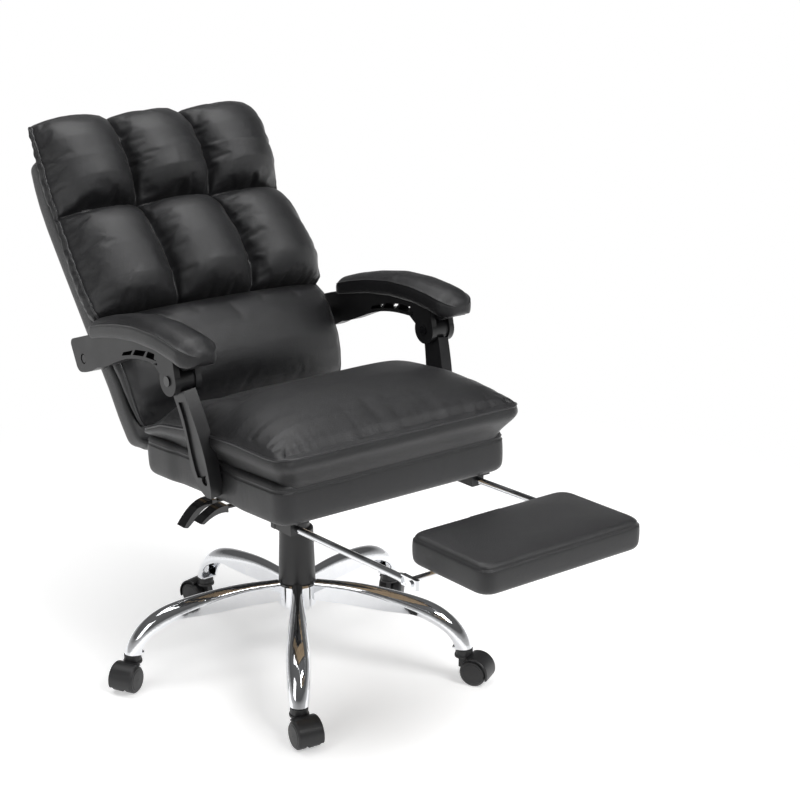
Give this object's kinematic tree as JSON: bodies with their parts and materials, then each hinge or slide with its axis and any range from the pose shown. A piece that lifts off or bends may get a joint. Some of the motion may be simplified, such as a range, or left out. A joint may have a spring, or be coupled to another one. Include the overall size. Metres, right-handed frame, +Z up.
{
  "type": "reclining office chair with footrest",
  "caption": "Padded swivel chair with a reclining tufted back, linked armrests, gas-lift column on a wheeled star base and a slide-out flip-over footrest.",
  "frame": {"origin": "on the floor under the gas lift's axis", "axes": "+Z up, the chair's front and its footrest face -Y, the user's right hand is at -X"},
  "size_m": [0.7202, 1.2331, 0.9942],
  "materials": {
    "chrome": "polished chrome plate",
    "bright_steel": "zinc-plated steel",
    "black_steel": "black powder coat",
    "black_plastic": "satin moulded",
    "gloss_plastic": "gloss moulded",
    "caster_nylon": "matte moulded nylon",
    "black_leather": "soft synthetic leather with fine grain",
    "plywood": "raw plywood"
  },
  "bodies": {
    "base": {"base_hub": "chrome", "base_legs": "chrome", "caster_sockets": "chrome", "gas_cylinder": "black_steel", "guide_bushing": "black_plastic", "column_cover": "black_plastic"},
    "swivel": {"piston_rod": "bright_steel", "thrust_bearing": "bright_steel"},
    "seat": {"pressure_tube": "bright_steel", "mechanism_housing": "black_steel", "seat_bolts": "bright_steel", "seat_board": "plywood", "seat_base_pad": "black_leather", "seat_cushion": "black_leather", "rail_guides": "black_plastic", "hinge_bracket": "black_steel", "hinge_pin": "bright_steel", "strut_bolts": "bright_steel"},
    "height_lever": {"height_lever_rod": "black_steel", "height_lever_grip": "gloss_plastic"},
    "recline_lever": {"recline_lever_rod": "black_steel", "recline_lever_grip": "gloss_plastic"},
    "back": {"back_shell": "black_leather", "back_cushion": "black_leather", "lumbar_cushion": "black_leather", "back_bracket": "black_steel", "back_bolts": "bright_steel", "arm_rear_bolts": "bright_steel", "recline_lock_rod": "black_steel"},
    "strut_left": {"arm_strut_left": "black_plastic"},
    "strut_right": {"arm_strut_right": "black_plastic"},
    "armrest_left": {"armrest_frame_left": "black_plastic", "armrest_pad_left": "black_leather", "arm_pivot_pin_left": "gloss_plastic"},
    "armrest_right": {"armrest_frame_right": "black_plastic", "armrest_pad_right": "black_leather", "arm_pivot_pin_right": "gloss_plastic"},
    "footrest_frame": {"footrest_rails": "chrome", "rail_connectors": "chrome", "footrest_crossbar": "chrome"},
    "footrest": {"footrest_pad": "black_leather", "footrest_board": "plywood", "footrest_clips": "black_plastic", "pull_tab": "black_leather"},
    "caster_1": {"caster_hood_1": "caster_nylon", "caster_stem_1": "bright_steel"},
    "wheels_1": {"caster_wheels_1": "caster_nylon"},
    "caster_2": {"caster_hood_2": "caster_nylon", "caster_stem_2": "bright_steel"},
    "wheels_2": {"caster_wheels_2": "caster_nylon"},
    "caster_3": {"caster_hood_3": "caster_nylon", "caster_stem_3": "bright_steel"},
    "wheels_3": {"caster_wheels_3": "caster_nylon"},
    "caster_4": {"caster_hood_4": "caster_nylon", "caster_stem_4": "bright_steel"},
    "wheels_4": {"caster_wheels_4": "caster_nylon"},
    "caster_5": {"caster_hood_5": "caster_nylon", "caster_stem_5": "bright_steel"},
    "wheels_5": {"caster_wheels_5": "caster_nylon"}
  },
  "joints": [
    {"name": "seat_swivel", "type": "hinge", "parent": "base", "child": "swivel", "pos_m": [0, 0, 0.1], "axis": [0, 0, 1], "continuous": true},
    {"name": "seat_height", "type": "slide", "parent": "swivel", "child": "seat", "axis": [0, 0, 1], "range_m": [0, 0.08]},
    {"name": "back_recline", "type": "hinge", "parent": "seat", "child": "back", "pos_m": [0, 0.165, 0.335], "axis": [1, 0, 0], "range_deg": [0, 15]},
    {"name": "footrest_slide", "type": "slide", "parent": "seat", "child": "footrest_frame", "axis": [0, 0.9998, -0.0209], "range_m": [0, 0.27]},
    {"name": "footrest_flip", "type": "hinge", "parent": "footrest_frame", "child": "footrest", "pos_m": [0, -0.573, 0.40289], "axis": [1, 0, 0], "range_deg": [0, 181]},
    {"name": "height_lever_pull", "type": "hinge", "parent": "seat", "child": "height_lever", "pos_m": [-0.048, -0.072, 0.374], "axis": [0, 1, 0], "range_deg": [0, 2.5], "stiffness_Nm_per_rad": 12, "springref_deg": -1.72},
    {"name": "recline_lever_pull", "type": "hinge", "parent": "seat", "child": "recline_lever", "pos_m": [-0.048, -0.034, 0.374], "axis": [0, 1, 0], "range_deg": [0, 2.5], "stiffness_Nm_per_rad": 12, "springref_deg": -1.72},
    {"name": "strut_swing_left", "type": "hinge", "parent": "seat", "child": "strut_left", "pos_m": [0.252, -0.113, 0.447], "axis": [1, 0, 0], "range_deg": [0, 22.6]},
    {"name": "armrest_tilt_left", "type": "hinge", "parent": "strut_left", "child": "armrest_left", "pos_m": [0.275, -0.066, 0.618], "axis": [1, 0, 0], "range_deg": [-20.7, 0]},
    {"name": "strut_swing_right", "type": "hinge", "parent": "seat", "child": "strut_right", "pos_m": [-0.252, -0.113, 0.447], "axis": [1, 0, 0], "range_deg": [0, 22.6]},
    {"name": "armrest_tilt_right", "type": "hinge", "parent": "strut_right", "child": "armrest_right", "pos_m": [-0.275, -0.066, 0.618], "axis": [1, 0, 0], "range_deg": [-20.7, 0]},
    {"name": "caster_swivel_1", "type": "hinge", "parent": "base", "child": "caster_1", "pos_m": [-0.30623, 0.09286, 0.06], "axis": [0, 0, 1], "continuous": true},
    {"name": "wheel_spin_1", "type": "hinge", "parent": "caster_1", "child": "wheels_1", "pos_m": [-0.32701, 0.08086, 0.025], "axis": [0.5, -0.866, 0], "continuous": true},
    {"name": "caster_swivel_2", "type": "hinge", "parent": "base", "child": "caster_2", "pos_m": [-0.18295, -0.26254, 0.06], "axis": [0, 0, 1], "continuous": true},
    {"name": "wheel_spin_2", "type": "hinge", "parent": "caster_2", "child": "wheels_2", "pos_m": [-0.18712, -0.28618, 0.025], "axis": [0.9848, -0.1736, 0], "continuous": true},
    {"name": "caster_swivel_3", "type": "hinge", "parent": "base", "child": "caster_3", "pos_m": [0.19316, -0.25513, 0.06], "axis": [0, 0, 1], "continuous": true},
    {"name": "wheel_spin_3", "type": "hinge", "parent": "caster_3", "child": "wheels_3", "pos_m": [0.20443, -0.27632, 0.025], "axis": [0.8829, 0.4695, 0], "continuous": true},
    {"name": "caster_swivel_4", "type": "hinge", "parent": "base", "child": "caster_4", "pos_m": [0.30233, 0.10487, 0.06], "axis": [0, 0, 1], "continuous": true},
    {"name": "wheel_spin_4", "type": "hinge", "parent": "caster_4", "child": "wheels_4", "pos_m": [0.32071, 0.12029, 0.025], "axis": [-0.6428, 0.766, 0], "continuous": true},
    {"name": "caster_swivel_5", "type": "hinge", "parent": "base", "child": "caster_5", "pos_m": [-0.00631, 0.31994, 0.06], "axis": [0, 0, 1], "continuous": true},
    {"name": "wheel_spin_5", "type": "hinge", "parent": "caster_5", "child": "wheels_5", "pos_m": [-0.01252, 0.34312, 0.025], "axis": [-0.9659, -0.2588, 0], "continuous": true}
  ],
  "couplings": [
    {"joint": "footrest_flip", "follows": "footrest_slide", "rad_per_m": 11.636},
    {"joint": "strut_swing_left", "follows": "back_recline", "ratio": 1.4997},
    {"joint": "armrest_tilt_left", "follows": "back_recline", "ratio": -1.3755},
    {"joint": "strut_swing_right", "follows": "back_recline", "ratio": 1.4997},
    {"joint": "armrest_tilt_right", "follows": "back_recline", "ratio": -1.3755}
  ]
}
